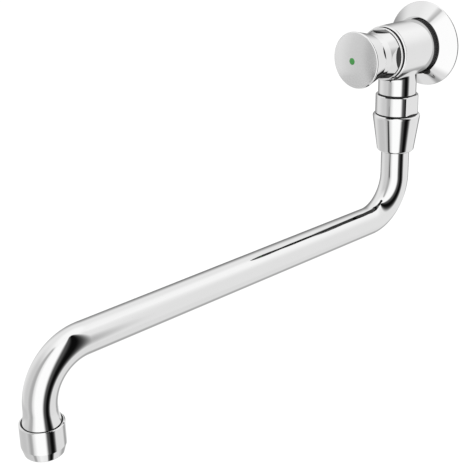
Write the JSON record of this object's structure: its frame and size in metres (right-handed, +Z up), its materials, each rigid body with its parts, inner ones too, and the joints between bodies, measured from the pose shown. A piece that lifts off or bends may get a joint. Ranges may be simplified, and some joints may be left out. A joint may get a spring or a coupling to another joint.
{
  "type": "push timed tap",
  "caption": "Wall-mounted self-closing push tap in chrome with a conical rosette, a push button and a long swivel spout ending in an aerator.",
  "frame": {"origin": "point where the inlet axis meets the wall plane", "axes": "+Z up; +Y into the wall along the inlet axis, so the body and the spout stand out along -Y; X to the sides"},
  "size_m": [0.06, 0.3626, 0.211],
  "materials": {
    "chrome": "polished chrome plate on brass",
    "brass": "turned brass",
    "black_rubber": "moulded rubber",
    "green_plastic": "moulded plastic",
    "white_plastic": "moulded plastic",
    "steel": "stainless steel"
  },
  "bodies": {
    "tap_body": {"wall_rosette": "chrome", "rosette_spacer": "black_rubber", "valve_body": "chrome", "inlet_filter": "white_plastic", "valve_seat": "brass", "cartridge_housing": "white_plastic", "housing_o_rings": "black_rubber", "return_spring": "steel", "cartridge_bonnet": "chrome", "bonnet_o_ring": "black_rubber", "guide_bush": "white_plastic", "spindle_o_ring": "black_rubber", "metering_needle": "steel", "swivel_connector": "chrome", "connector_gasket": "black_rubber", "swivel_nut": "chrome", "slip_washer": "white_plastic"},
    "button": {"push_button": "chrome", "button_plug": "green_plastic", "button_screw": "steel", "valve_spindle": "steel", "timing_piston": "white_plastic", "piston_lip_seal": "black_rubber", "piston_nut": "brass", "valve_disc": "brass", "valve_washer": "black_rubber", "valve_nut": "brass"},
    "spout": {"spout_collar": "brass", "spout_o_rings": "black_rubber", "spout_tube": "chrome", "outlet_fitting": "chrome", "aerator_housing": "chrome", "aerator_washer": "black_rubber", "aerator_screen": "steel", "aerator_insert": "white_plastic"}
  },
  "joints": [
    {"name": "button_push", "type": "slide", "parent": "tap_body", "child": "button", "axis": [0, 1, 0], "range_m": [0, 0.006], "stiffness_N_per_m": 1500, "springref_m": -0.006, "deforming": ["return_spring"]},
    {"name": "spout_swivel", "type": "hinge", "parent": "tap_body", "child": "spout", "pos_m": [0, -0.0285, -0.05], "axis": [0, 0, 1], "range_deg": [-90, 90]}
  ]
}
